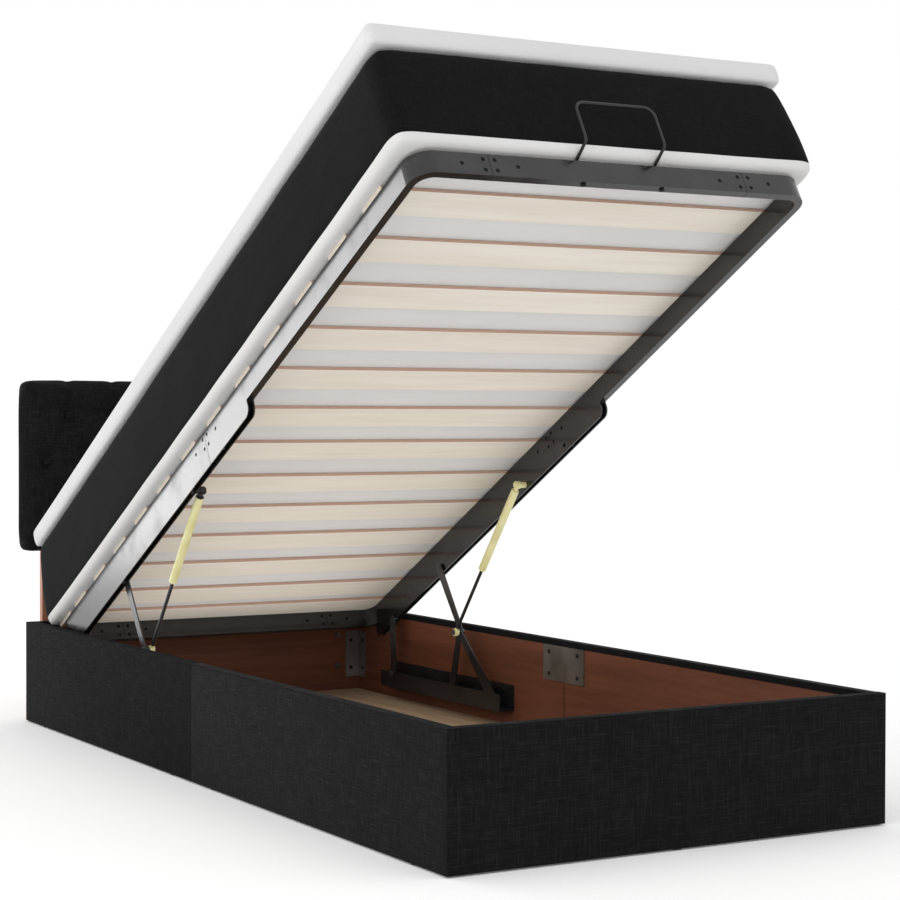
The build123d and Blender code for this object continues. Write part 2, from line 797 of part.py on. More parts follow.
def couplings():
    # Each is (x, y, along X?) at the middle of the tube.
    foot_mid = -frame_foot + tube_width / 2
    head_mid = -frame_head - tube_width / 2
    side_mid = frame_half - tube_width / 2
    return [(side * foot_coupling_place, y, True) for side in (-1, 1) for y in (foot_mid, head_mid)] + [
        (side * side_mid, -side_coupling_place, False) for side in (-1, 1)]


def coupling_screw_places():
    offsets = [(-coupling_far_spread, 0), (coupling_far_spread, 0)]
    offsets += [(a * coupling_near_spread, b * coupling_row_spread) for a in (-1, 1) for b in (-1, 1)]
    middle = (tube_top + tube_bottom) / 2
    places = []
    for x, y, along_x in couplings():
        for a, n in offsets:
            places.append((x + (a if along_x else 0), y + (0 if along_x else a), middle + n, along_x))
    return places


def coupling_bars(radius, half):
    bars = []
    for x, y, n, along_x in coupling_screw_places():
        if along_x:
            bars.append(bar_y(radius, y - half, y + half, x, n))
        else:
            bars.append(bar_x(radius, x - half, x + half, y, n))
    return bars


def slat_places():
    return [-(edge - slat_width / 2) for edge in slat_foot_edges]


def rivet_places():
    x = frame_half - tube_width / 2
    return [(side * x, y) for side in (-1, 1) for y in slat_places()]


def handle_places():
    y = -frame_foot + tube_width / 2
    return [(side * handle_half_width, y) for side in (-1, 1)]


def lift_bolt_spots():
    x = (lift_flange_x + frame_half) / 2
    return [(side * x, -s) for side in (-1, 1) for s in lift_bolt_places]


def frame():
    ring = frame_ring(0, tube_bottom, tube_top) - frame_ring(-tube_wall, tube_bottom + tube_wall,
                                                            tube_top - tube_wall)
    holes = coupling_bars(coupling_hole_radius, tube_width / 2 + cut)
    holes += [bar_z(rivet_radius + rivet_clearance, tube_top - cut, tube_top + cut, x, y)
              for x, y in rivet_places()]
    holes += [bar_z(handle_bar_radius + handle_hole_clearance, tube_top - cut, tube_top + cut, x, y)
              for x, y in handle_places()]
    holes += [bar_z(handle_screw_radius + screw_clearance, tube_bottom - cut, tube_bottom + cut, x, y)
              for x, y in handle_places()]
    holes += [bar_z(lift_bolt_radius + screw_clearance, tube_bottom - cut, tube_bottom + cut, x, y)
              for x, y in lift_bolt_spots()]
    ring = ring - holes
    gap = coupling_gap / 2
    cx = foot_coupling_place
    sy = -side_coupling_place
    low = tube_bottom - cut
    high = tube_top + cut
    far = frame_half + cut
    foot_end = -frame_foot - cut
    head_end = -frame_head + cut
    foot = ring & block(-cx + gap, cx - gap, foot_end, sy, low, high)
    head = ring & block(-cx + gap, cx - gap, sy, head_end, low, high)
    foot_corner = ring & (block(cx + gap, far, foot_end, sy - gap, low, high))
    head_corner = ring & (block(cx + gap, far, sy + gap, head_end, low, high))
    save_platform("frame_foot_tube", [foot])
    save_platform("frame_head_tube", [head])
    save_platform("frame_foot_corner_right", [foot_corner])
    save_platform("frame_head_corner_right", [head_corner])
    save_platform("frame_foot_corner_left", [other_side(foot_corner)])
    save_platform("frame_head_corner_left", [other_side(head_corner)])

    half_thick = tube_width / 2 - tube_wall - sleeve_clearance
    low = tube_bottom + tube_wall + sleeve_clearance
    high = tube_top - tube_wall - sleeve_clearance
    sleeves = []
    for x, y, along_x in couplings():
        a = sleeve_length / 2 if along_x else half_thick
        b = half_thick if along_x else sleeve_length / 2
        sleeves.append(block(x - a, x + a, y - b, y + b, low, high))
    bores = coupling_bars(coupling_screw_radius + coupling_clearance, tube_width)
    bores += [bar_z(rivet_tail_radius + rivet_clearance, high - cut, high + cut, x, y)
              for x, y in rivet_places()]
    save_platform("frame_sleeves", [s - bores for s in sleeves])
    head_outer = tube_width / 2 - coupling_head_sink
    screws = []
    for shank, outer, inner in zip(coupling_bars(coupling_screw_radius, half_thick),
                                   coupling_bars(coupling_head_radius, head_outer),
                                   coupling_bars(coupling_head_radius, half_thick)):
        screws.append(outer - inner + shank)
    save_platform("frame_sleeve_screws", screws)


# Slats lie on the tubes and are riveted at both ends
def slats():
    boards = []
    rivets = []
    for y in slat_places():
        board = block(-frame_half, frame_half, y - slat_width / 2, y + slat_width / 2, tube_top,
                      tube_top + slat_thickness)
        board = fillet(board.edges().filter_by(Axis.X), slat_edge_radius)
        boards.append(board)
    top = tube_top + slat_thickness
    holes = []
    for x, y in rivet_places():
        holes.append(bar_z(rivet_radius + rivet_clearance, tube_top - cut, top + cut, x, y)
                     + bar_z(rivet_head_radius + rivet_clearance, top - rivet_head_height, top + cut, x, y))
        low = tube_top - tube_wall
        rivets.append(bar_z(rivet_radius, low, top - rivet_head_height, x, y)
                      + bar_z(rivet_head_radius, top - rivet_head_height, top - rivet_head_sink, x, y)
                      + bar_z(rivet_tail_radius, low - rivet_tail_height, low, x, y))
    save_platform("slats", [b - [h for h in holes if abs(h.center().Y - b.center().Y) < slat_width / 2]
                            for b in boards])
    save_platform("slat_rivets", rivets)


# Lift rails: steel channels bolted under the side tubes, with the moving pivots on their inner side
def lift_rails():
    t = lift_rail_thickness
    low = tube_bottom - lift_rail_drop
    flange = rect(-lift_rail_foot, -lift_rail_head, low, tube_bottom)
    corner = flange.vertices().sort_by(Axis.Y)[:2].sort_by(Axis.X)[0]
    flange = fillet(corner, lift_rail_end_radius)
    outer_side = plate(flange, frame_half - t, frame_half)
    rear = (-rear_link_place, -rear_link_depth)
    front = (-front_link_place, -front_link_depth)
    strut = (-strut_place, -strut_depth)
    flange += disc(lift_tab_radius, *rear)
    hole = pivot_small_radius + pivot_small_clearance
    flange -= disc(hole, *rear) + disc(hole, *front) + disc(hole, *strut)
    flange -= disc(lift_rail_hole_radius, -lift_rail_hole_place, -lift_rail_hole_height)
    rail = plate(flange, lift_flange_x, lift_flange_x + t)
    rail += block(lift_flange_x, frame_half, -lift_rail_foot, -lift_rail_head, tube_bottom - t, tube_bottom)
    rail += outer_side
    rail -= [bar_z(lift_bolt_radius + screw_clearance, tube_bottom - t - cut, tube_bottom + cut, x, y)
             for x, y in lift_bolt_spots()]
    save_platform("lift_rail_right", [rail])
    save_platform("lift_rail_left", [other_side(rail)])
    bolts = []
    for x, y in lift_bolt_spots():
        bolts.append(bar_z(lift_bolt_radius, tube_bottom - t, tube_bottom + lift_bolt_reach, x, y)
                     + bar_z(lift_bolt_head_radius, tube_bottom - t - lift_bolt_head_height,
                             tube_bottom - t, x, y))
    save_platform("lift_rail_bolts", bolts)
    outer = lift_flange_x + t
    rear_pin = stepped_pin([
        (pivot_collar_radius, web_outer + link_gap, link_inner - link_gap),
        (pivot_radius, link_inner - link_gap, link_outer + link_gap),
        (pivot_collar_radius, link_outer + link_gap, lift_flange_x),
        (pivot_small_radius, lift_flange_x, outer),
        (pivot_collar_radius, outer, outer + pivot_tail_height)], *rear)
    pins = [rear_pin]
    for spot in (front, strut):
        pins.append(stepped_pin([
            (pivot_small_radius, lift_flange_x, outer),
            (pivot_collar_radius, outer, outer + pivot_tail_height)], *spot))
    save_platform("lift_rail_pins", both_sides(pins))


# Pull handle: one bent bar whose legs stand in the foot tube, held by a screw from below
def handle():
    x = handle_half_width
    y = -frame_foot + tube_width / 2
    bottom = tube_bottom + tube_wall
    out = y - handle_stand_off
    points = [(-x, y, bottom), (-x, y, -handle_step_height), (-x, out, -handle_step_height + handle_step),
              (-x, out, handle_top), (x, out, handle_top), (x, out, -handle_step_height + handle_step),
              (x, y, -handle_step_height), (x, y, bottom)]
    radii = [handle_low_bend, handle_mid_bend, handle_top_bend]
    path = FilletPolyline(*points, radius=radii + radii[::-1])
    start = Plane(origin=points[0], z_dir=(0, 0, 1))
    bar = sweep(start * Circle(handle_bar_radius), path=path)
    top = bottom + handle_screw_depth
    screws = []
    for hx, hy in handle_places():
        bar -= bar_z(handle_screw_radius + screw_clearance, bottom - cut, top + screw_clearance, hx, hy)
        screws.append(bar_z(handle_screw_radius, tube_bottom, top, hx, hy)
                      + bar_z(handle_screw_head_radius, tube_bottom - handle_screw_head_height,
                              tube_bottom, hx, hy))
    save_platform("pull_handle", [bar])
    save_platform("handle_screws", screws)


# A cushion: one side profile swept round a rounded rectangle, over a plain middle
def cushion(width, length, corner, low, high, profile):
    y_mid = -length / 2
    x_in = width / 2 - corner
    y_in = length / 2 - corner
    face = make_face(profile)
    body = block(-x_in, x_in, y_mid - y_in, y_mid + y_in, low, high)
    side = extrude(Plane.XZ * face, amount=y_in, both=True)
    end = extrude(Plane.XZ * face, amount=x_in, both=True)
    turn = revolve(Plane.XZ * face, axis=Axis.Z, revolution_arc=90)
    body += Pos(x_in, y_mid, 0) * side
    body += Pos(-x_in, y_mid, 0) * Rot(0, 0, 180) * side
    body += Pos(0, y_mid + y_in, 0) * Rot(0, 0, 90) * end
    body += Pos(0, y_mid - y_in, 0) * Rot(0, 0, -90) * end
    for x, y, spin in ((x_in, y_mid + y_in, 0), (-x_in, y_mid + y_in, 90), (-x_in, y_mid - y_in, 180),
                       (x_in, y_mid - y_in, 270)):
        body += Pos(x, y, 0) * Rot(0, 0, spin) * turn
    return body.clean()


def quarter(cx, cy, radius, start):
    return CenterArc((cx, cy), radius, start, 90)


def mattress():
    r = mattress_corner_radius
    seam = r - mattress_draw_in
    low = -mattress_under
    high = mattress_band
    top = seam - mattress_top_radius
    lower = quarter(seam - mattress_under, 0, mattress_under, -90)
    bulge = ThreePointArc((seam, 0), (r, (high - mattress_top_radius) / 2), (seam, high - mattress_top_radius))
    upper = quarter(top, high - mattress_top_radius, mattress_top_radius, 0)
    profile = [Line((0, low), (seam - mattress_under, low)), lower, bulge, upper,
               Line((top, high), (0, high)), Line((0, high), (0, low))]
    return cushion(mattress_width, mattress_length, r, low, high, profile)


def topper():
    r = topper_corner_radius
    side = r - topper_draw_in
    low = mattress_band
    high = low + topper_thickness
    b = topper_bottom_radius
    t = topper_top_radius
    profile = [Line((0, low), (side - b, low)), quarter(side - b, low + b, b, -90),
               ThreePointArc((side, low + b), (r, (low + b + high - t) / 2), (side, high - t)),
               quarter(side - t, high - t, t, 0), Line((side - t, high), (0, high)),
               Line((0, high), (0, low))]
    return cushion(mattress_width, mattress_length, r, low, high, profile)


side_rails()
end_panels()
floor()
base_fittings()
base_screws()
headboard()
base_bracket()
bracket_pins()
links()
struts()
frame()
slats()
lift_rails()
handle()
save_platform("mattress", [mattress()])
save_platform("topper", [topper()])

for name, point in (("front pivot", front_pivot), ("rear pivot", rear_pivot), ("rear link top", rear_top_raised),
                    ("strut top", strut_top_raised), ("front link top", front_top_raised)):
    print(name, [round(v, 4) for v in point])
print("front link turns", angle(front_pivot, front_top_raised), angle(front_pivot, front_top_closed))
print("rear link turns", angle(rear_pivot, rear_top_raised), angle(rear_pivot, rear_top_closed))
print("strut turns", angle(front_pivot, strut_top_raised), angle(front_pivot, strut_top_closed))
print("strut lengths", strut_raised_length, strut_closed_length, "platform tilt", open_tilt)
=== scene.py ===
import math

import bmesh
import bpy
from mathutils import Matrix, Quaternion, Vector, noise


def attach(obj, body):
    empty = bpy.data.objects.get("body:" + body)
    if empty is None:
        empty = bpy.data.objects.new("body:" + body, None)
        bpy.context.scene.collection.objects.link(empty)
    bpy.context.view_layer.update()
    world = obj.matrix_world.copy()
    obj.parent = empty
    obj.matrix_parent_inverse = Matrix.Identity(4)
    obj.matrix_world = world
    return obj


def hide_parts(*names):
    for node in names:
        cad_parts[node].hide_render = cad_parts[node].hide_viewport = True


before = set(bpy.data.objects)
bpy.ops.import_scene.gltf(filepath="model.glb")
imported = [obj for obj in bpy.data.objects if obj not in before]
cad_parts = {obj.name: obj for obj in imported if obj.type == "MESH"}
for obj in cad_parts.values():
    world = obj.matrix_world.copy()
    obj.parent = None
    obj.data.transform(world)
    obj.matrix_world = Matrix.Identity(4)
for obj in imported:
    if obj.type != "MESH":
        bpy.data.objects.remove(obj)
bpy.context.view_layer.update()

# The studio: a wide pale floor under the bed, white light from all round, soft lamps
# on the left and a low one that bounces up at the slats. The camera stands low beyond
# the foot of the bed on its left side, with a long lens.
scene = bpy.context.scene
scene.view_settings.view_transform = "Standard"
scene.view_settings.look = "None"

camera_place = (-2.20936, -4.08213, 0.75445)
camera_turn = Vector((1.5485544736332102, -0.4142496787967953, 0.41031158966419756))
camera_lens = 86.457
rows = Quaternion(camera_turn.normalized(), camera_turn.length).to_matrix()
camera = bpy.data.objects.new("camera", bpy.data.cameras.new("camera"))
scene.collection.objects.link(camera)
camera.data.sensor_width = 36
camera.data.lens = camera_lens
camera.data.clip_start = 0.1
camera.data.clip_end = 200
camera.matrix_world = Matrix([(rows[0][k], -rows[1][k], -rows[2][k], camera_place[k]) for k in range(3)]
                             + [(0, 0, 0, 1)])
scene.camera = camera

world = bpy.data.worlds.new("white_studio")
world.use_nodes = True
world.node_tree.nodes["Background"].inputs["Color"].default_value = (1, 1, 1, 1)
world.node_tree.nodes["Background"].inputs["Strength"].default_value = 1.0
scene.world = world


def add_soft_lamp(name, place, aim, wide, high, power):
    lamp = bpy.data.objects.new(name, bpy.data.lights.new(name, "AREA"))
    lamp.data.shape = "RECTANGLE"
    lamp.data.size = wide
    lamp.data.size_y = high
    lamp.visible_camera = False
    lamp.data.energy = power
    lamp.location = place
    lamp.rotation_mode = "QUATERNION"
    lamp.rotation_quaternion = (Vector(aim) - Vector(place)).to_track_quat("-Z", "Y")
    scene.collection.objects.link(lamp)


add_soft_lamp("left_lamp", (-4.2, -2.6, 2.6), (0, 0, 0.5), 2.6, 2.6, 42)
add_soft_lamp("back_left_lamp", (-3.2, 6.0, 1.3), (-0.4, 0, 0.7), 2.6, 2.6, 95)
add_soft_lamp("low_bounce", (0, -0.10, 0.20), (0, 0, 2.0), 0.74, 1.75, 3.6)
scene.objects["low_bounce"].visible_glossy = False


def noise_on(tree, vector, scale, detail=3.0, rough=0.5):
    node = tree.nodes.new("ShaderNodeTexNoise")
    node.inputs["Scale"].default_value = scale
    node.inputs["Detail"].default_value = detail
    node.inputs["Roughness"].default_value = rough
    tree.links.new(vector, node.inputs["Vector"])
    return node.outputs["Fac"]


def new_finish(name, place=(0, 0, 0), turned=(0, 0, 0)):
    # A finish whose pattern is told from a place on the bed, in metres.
    finish = bpy.data.materials.new(name)
    finish.use_nodes = True
    tree = finish.node_tree
    where = tree.nodes.new("ShaderNodeTexCoord")
    mapping = tree.nodes.new("ShaderNodeMapping")
    mapping.vector_type = "TEXTURE"
    mapping.inputs["Location"].default_value = place
    mapping.inputs["Rotation"].default_value = turned
    tree.links.new(where.outputs["Object"], mapping.inputs["Vector"])
    return finish, tree, tree.nodes["Principled BSDF"].inputs, mapping.outputs["Vector"]


def colour_between(tree, factor, first, second):
    node = tree.nodes.new("ShaderNodeMix")
    node.data_type = "RGBA"
    tree.links.new(factor, node.inputs["Factor"])
    for socket, colour in ((node.inputs[6], first), (node.inputs[7], second)):
        if isinstance(colour, tuple):
            socket.default_value = (*colour, 1)
        else:
            tree.links.new(colour, socket)
    return node.outputs[2]


def new_piece(name, shape, body, finish, stands_for=(), soften=None):
    # Takes a finished bmesh, gives it its finish and hangs it on its part of the bed.
    mesh = bpy.data.meshes.new(name)
    shape.to_mesh(mesh)
    shape.free()
    for face in mesh.polygons:
        face.use_smooth = True
    piece = bpy.data.objects.new(name, mesh)
    scene.collection.objects.link(piece)
    if soften:
        mesh.set_sharp_from_angle(angle=soften)
    if finish:
        mesh.materials.append(finish)
    if body:
        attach(piece, body)
        if stands_for:
            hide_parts(*stands_for)
    return piece


floor_half = 40
floor_drop = 0.0004
floor_dark = (0.90, 0.90, 0.90)
floor_light = (0.94, 0.94, 0.94)
floor_finish, tree, skin, spot = new_finish("studio_floor")
cloudy = noise_on(tree, spot, 0.7, 2.0)
tree.links.new(colour_between(tree, cloudy, floor_dark, floor_light), skin["Base Color"])
skin["Roughness"].default_value = 0.9
skin["Specular IOR Level"].default_value = 0.1
skin["Emission Color"].default_value = (1, 1, 1, 1)
skin["Emission Strength"].default_value = 0.09
shape = bmesh.new()
bmesh.ops.create_grid(shape, x_segments=4, y_segments=4, size=floor_half)
bmesh.ops.translate(shape, verts=shape.verts, vec=(0, 0, -floor_drop))
studio_floor = new_piece("studio_floor", shape, None, floor_finish)

# The base boards: two stained boards a side and one at each end, 22 mm thick. Their
# inner faces stay bare and show red-brown inside the box; the grain runs along each
# board. They are screwed to steel angles in the corners.
bed_foot = -1.0625
box_head = bed_foot + 2.060
panel_low = 0.003
panel_high = 0.243
panel_thick = 0.025
box_half = 0.465
stain_dark = (0.105, 0.034, 0.016)
stain_light = (0.175, 0.060, 0.030)


def new_effect(name, outputs, **numbers):
    # An effect that several finishes use, with its own named sockets.
    effect = bpy.data.node_groups.new(name, "ShaderNodeTree")
    effect.interface.new_socket(name="Vector", in_out="INPUT", socket_type="NodeSocketVector")
    for label, value in numbers.items():
        socket = effect.interface.new_socket(name=label, in_out="INPUT", socket_type="NodeSocketFloat")
        socket.default_value = value
    for label in outputs:
        effect.interface.new_socket(name=label, in_out="OUTPUT", socket_type="NodeSocketFloat")
    given = effect.nodes.new("NodeGroupInput")
    made = effect.nodes.new("NodeGroupOutput")
    return effect, given.outputs, made.inputs


def stretched(tree, vector, factors):
    node = tree.nodes.new("ShaderNodeVectorMath")
    node.operation = "MULTIPLY"
    node.inputs[1].default_value = factors
    tree.links.new(vector, node.inputs[0])
    return node.outputs[0]


def scaled(tree, vector, factor):
    node = tree.nodes.new("ShaderNodeVectorMath")
    node.operation = "SCALE"
    tree.links.new(vector, node.inputs[0])
    tree.links.new(factor, node.inputs["Scale"])
    return node.outputs[0]


def reckon(tree, operation, first, second, third=None):
    node = tree.nodes.new("ShaderNodeMath")
    node.operation = operation
    for place, value in enumerate((first, second, third)):
        if value is None:
            continue
        if isinstance(value, (int, float)):
            node.inputs[place].default_value = value
        else:
            tree.links.new(value, node.inputs[place])
    return node.outputs[0]


def ranged(tree, value, low, high, to_low=0.0, to_high=1.0):
    node = tree.nodes.new("ShaderNodeMapRange")
    node.interpolation_type = "SMOOTHSTEP"
    numbers = {"From Min": low, "From Max": high, "To Min": to_low, "To Max": to_high}
    for label, number in numbers.items():
        node.inputs[label].default_value = number
    tree.links.new(value, node.inputs["Value"])
    return node.outputs["Result"]


def with_effect(tree, effect, vector, **values):
    node = tree.nodes.new("ShaderNodeGroup")
    node.node_tree = effect
    tree.links.new(vector, node.inputs["Vector"])
    for label, value in values.items():
        node.inputs[label].default_value = value
    return node.outputs


def raise_surface(tree, skin, height, depth, strength=1.0):
    node = tree.nodes.new("ShaderNodeBump")
    node.inputs["Distance"].default_value = depth
    node.inputs["Strength"].default_value = strength
    tree.links.new(height, node.inputs["Height"])
    tree.links.new(node.outputs["Normal"], skin["Normal"])


def finish_parts(finish, *parts):
    for part in parts:
        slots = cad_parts[part].data.materials
        slots.clear()
        slots.append(finish)


grain, given, made = new_effect("wood_grain", ["Grain", "Height"], Fineness=1.0)
fine = scaled(grain, given["Vector"], given["Fineness"])
streaks = noise_on(grain, stretched(grain, fine, (4, 60, 60)), 1.0, 4.0, 0.6)
pores = noise_on(grain, stretched(grain, fine, (30, 700, 700)), 1.0, 2.0)
patches = noise_on(grain, stretched(grain, fine, (1.5, 9, 9)), 1.0, 2.0)
mixed = reckon(grain, "MULTIPLY_ADD", streaks, 0.55, reckon(grain, "MULTIPLY", patches, 0.45))
grain.links.new(ranged(grain, mixed, 0.3, 0.7), made["Grain"])
grain.links.new(reckon(grain, "MULTIPLY_ADD", pores, 0.5, streaks), made["Height"])


def wood_finish(name, dark, light, turned=(0, 0, 0), fineness=1.0, rough=0.5, gloss=0.35):
    # The grain runs along X until it is turned.
    finish, tree, skin, spot = new_finish(name, turned=turned)
    wood = with_effect(tree, grain, spot, Fineness=fineness)
    tree.links.new(colour_between(tree, wood["Grain"], dark, light), skin["Base Color"])
    tree.links.new(ranged(tree, wood["Grain"], 0, 1, rough + 0.08, rough - 0.05), skin["Roughness"])
    skin["Specular IOR Level"].default_value = gloss
    raise_surface(tree, skin, wood["Height"], 0.0002, 0.4)
    return finish


grain_along_y = (0, 0, math.pi / 2)
grain_upright = (0, math.pi / 2, 0)
stained_rail = wood_finish("stained_rail_board", stain_dark, stain_light, grain_along_y)
stained_end = wood_finish("stained_end_board", stain_dark, stain_light)
for side in ("left", "right"):
    finish_parts(stained_rail, "side_rail_front_board_" + side, "side_rail_rear_board_" + side)
finish_parts(stained_end, "foot_panel_board", "head_panel_board")

# The base covers: black linen-look cloth over a thin wadding, pulled round the top
# edge of each board and stapled as a narrow fold on the inside. Where the two boards
# of a side meet, each cover turns in and leaves a fine upright seam.
linen, given, made = new_effect("linen_slub", ["Threads", "Height", "Puckers"])
upright = noise_on(linen, stretched(linen, given["Vector"], (520, 520, 30)), 1.0, 3.0, 0.6)
level = noise_on(linen, stretched(linen, given["Vector"], (24, 24, 520)), 1.0, 3.0, 0.6)
tight = noise_on(linen, stretched(linen, given["Vector"], (900, 900, 900)), 1.0, 1.0)
both_ways = reckon(linen, "ADD", upright, level)
crossed = ranged(linen, reckon(linen, "MULTIPLY", both_ways, 0.5), 0.35, 0.65)
slubs = reckon(linen, "MAXIMUM", ranged(linen, upright, 0.5, 0.8), ranged(linen, level, 0.5, 0.8))
weave = reckon(linen, "MULTIPLY_ADD", slubs, 0.55, reckon(linen, "MULTIPLY", crossed, 0.3))
linen.links.new(reckon(linen, "MULTIPLY_ADD", tight, 0.25, weave), made["Threads"])
linen.links.new(reckon(linen, "MULTIPLY_ADD", tight, 0.5, both_ways), made["Height"])
linen.links.new(noise_on(linen, given["Vector"], 6.0, 2.0), made["Puckers"])


def linen_finish(name, dark, light):
    finish, tree, skin, spot = new_finish(name)
    cloth = with_effect(tree, linen, spot)
    puckers = reckon(tree, "MULTIPLY", cloth["Puckers"], 0.15)
    shade = reckon(tree, "MULTIPLY_ADD", cloth["Threads"], 0.85, puckers)
    tree.links.new(colour_between(tree, shade, dark, light), skin["Base Color"])
    tree.links.new(ranged(tree, cloth["Threads"], 0, 1, 0.95, 0.8), skin["Roughness"])
    skin["Specular IOR Level"].default_value = 0.10
    raise_surface(tree, skin, cloth["Height"], 0.0005, 0.8)
    return finish


black_linen = linen_finish("black_linen", (0.0020, 0.0020, 0.0022), (0.0160, 0.0160, 0.0170))
cover_wall = 0.003
cover_round = 0.004
cover_smooth = math.radians(50)
fold_wall = 0.001
fold_deep = 0.013
fold_under = 0.0001
fold_round = 0.0004
fold_short = 0.0015
seam_y = bed_foot + 1.043
seam_gap = 0.00002
seam_round = 0.0012
hair = 1e-6


def box_between(shape, low, high):
    box = bmesh.ops.create_cube(shape, size=1)["verts"]
    bmesh.ops.scale(shape, verts=box, vec=[b - a for a, b in zip(low, high)])
    bmesh.ops.translate(shape, verts=box, vec=[(a + b) / 2 for a, b in zip(low, high)])
    return box


def round_off(shape, edges, radius, segments):
    bmesh.ops.bevel(shape, geom=edges, offset=radius, segments=segments, profile=0.5, affect="EDGES",
                    material=-1)


def cloth_wrap(low, high, bare, round_edges):
    # A board's wrapping: the box round it without its bare faces, its showing edges
    # rounded, then given a wall.
    shape = bmesh.new()
    box_between(shape, low, high)
    shape.normal_update()
    gone = [f for f in shape.faces if any(f.normal.dot(Vector(way)) > 0.9 for way in bare)]
    bmesh.ops.delete(shape, geom=gone, context="FACES_ONLY")
    edges = [e for e in shape.edges if round_edges([v.co for v in e.verts])]
    round_off(shape, edges, cover_round, 4)
    bmesh.ops.remove_doubles(shape, verts=shape.verts, dist=hair)
    shape.normal_update()
    bmesh.ops.solidify(shape, geom=shape.faces[:], thickness=cover_wall)
    return shape


def add_fold(shape, low, high):
    lip = box_between(shape, low, high)
    top = [e for e in shape.edges if all(v in lip and v.co.z > high[2] - hair for v in e.verts)]
    round_off(shape, top, fold_round, 2)


halves = (("front", bed_foot + panel_thick, seam_y - seam_gap),
          ("rear", seam_y + seam_gap, box_head - panel_thick))
for side, sign in (("right", 1), ("left", -1)):
    outside = sign * box_half
    inside = sign * (box_half - panel_thick)
    xs = sorted((inside, outside))
    folds = sorted((inside, inside - sign * fold_wall))
    for place, y0, y1 in halves:
        bare = [(-sign, 0, 0), (0, 1, 0), (0, -1, 0)]
        shape = cloth_wrap((xs[0], y0, panel_low), (xs[1], y1, panel_high), bare,
                           lambda ends: all(abs(c.x - outside) < hair and c.z > panel_high - hair for c in ends))
        seam_end = y1 if place == "front" else y0
        turned_in = [e for e in shape.edges if all(
            abs(v.co.y - seam_end) < hair and (abs(v.co.x - outside) < hair or v.co.z > panel_high - hair)
            for v in e.verts)]
        round_off(shape, turned_in, seam_round, 2)
        add_fold(shape, (folds[0], y0, panel_high - fold_deep), (folds[1], y1, panel_high - fold_under))
        cover = new_piece("rail_cover_" + place + "_" + side, shape, "base", black_linen,
                          ["side_rail_" + place + "_cover_" + side], soften=cover_smooth)

for name, outer, way in (("foot", bed_foot, 1), ("head", box_head, -1)):
    inner = outer + way * panel_thick
    ys = sorted((outer, inner))
    shape = cloth_wrap((-box_half, ys[0], panel_low), (box_half, ys[1], panel_high), [(0, way, 0)],
                       lambda ends: all(abs(c.y - outer) < hair for c in ends)
                       and any(c.z > panel_low + hair for c in ends))
    reach = box_half - panel_thick - fold_short
    folds = sorted((inner, inner + way * fold_wall))
    add_fold(shape, (-reach, folds[0], panel_high - fold_deep), (reach, folds[1], panel_high - fold_under))
    cover = new_piece(name + "_cover", shape, "base", black_linen, [name + "_panel_cover"],
                      soften=cover_smooth)

# The floor of the box: two thin boards laid on cleats and three cross battens, all
# of raw pressed board and pine, standing on low round plastic glides that keep the
# cloth off the ground.
raw_board = wood_finish("raw_floor_board", (0.30, 0.20, 0.125), (0.44, 0.32, 0.21), grain_along_y,
                        fineness=0.7, rough=0.7, gloss=0.2)
raw_pine = wood_finish("raw_pine", (0.42, 0.28, 0.15), (0.60, 0.44, 0.27),
                       fineness=1.2, rough=0.65, gloss=0.2)
finish_parts(raw_board, "floor_panel_front", "floor_panel_rear")
finish_parts(raw_pine, "floor_cleats", "floor_cross_battens")

mottle, given, made = new_effect("worn_skin", ["Patches", "Height", "Dust"], Grit=900.0)
peel = noise_on(mottle, scaled(mottle, given["Vector"], given["Grit"]), 1.0, 2.0)
broad = noise_on(mottle, given["Vector"], 14.0, 3.0)
mottle.links.new(ranged(mottle, broad, 0.35, 0.7), made["Patches"])
mottle.links.new(peel, made["Height"])
mottle.links.new(ranged(mottle, reckon(mottle, "MULTIPLY", broad, peel), 0.2, 0.45), made["Dust"])


def hard_finish(name, dark, light, rough, metal=0.0, gloss=0.5, grit=900.0, depth=0.00005,
                place=(0, 0, 0), turned=(0, 0, 0)):
    finish, tree, skin, spot = new_finish(name, place, turned)
    worn = with_effect(tree, mottle, spot, Grit=grit)
    tree.links.new(colour_between(tree, worn["Patches"], dark, light), skin["Base Color"])
    tree.links.new(ranged(tree, worn["Dust"], 0, 1, rough, rough + 0.14), skin["Roughness"])
    skin["Metallic"].default_value = metal
    skin["Specular IOR Level"].default_value = gloss
    raise_surface(tree, skin, worn["Height"], depth, 0.5)
    return finish


glide_plastic = hard_finish("glide_plastic", (0.03, 0.03, 0.03), (0.05, 0.05, 0.05), 0.5)
finish_parts(glide_plastic, "glides")

# The base fittings: zinc-plated plates over the side seams, steel angles in the
# corners, pan-head screws, and two wooden blocks inside the foot panel that the
# closed platform comes down on.
zinc = hard_finish("dull_zinc", (0.20, 0.185, 0.17), (0.30, 0.285, 0.27), 0.42, metal=0.85, grit=500.0)
screw_steel = hard_finish("screw_steel", (0.16, 0.16, 0.165), (0.26, 0.26, 0.27), 0.35,
                          metal=0.9, grit=1500.0)
board_screw = hard_finish("board_screw", (0.012, 0.012, 0.012), (0.028, 0.027, 0.026), 0.4,
                          metal=0.5, grit=1500.0)
block_wood = wood_finish("rest_block_wood", (0.20, 0.085, 0.045), (0.33, 0.15, 0.085))
finish_parts(zinc, "rail_joint_plates", "corner_angles")
finish_parts(board_screw, "base_screws")
finish_parts(block_wood, "frame_rest_blocks")

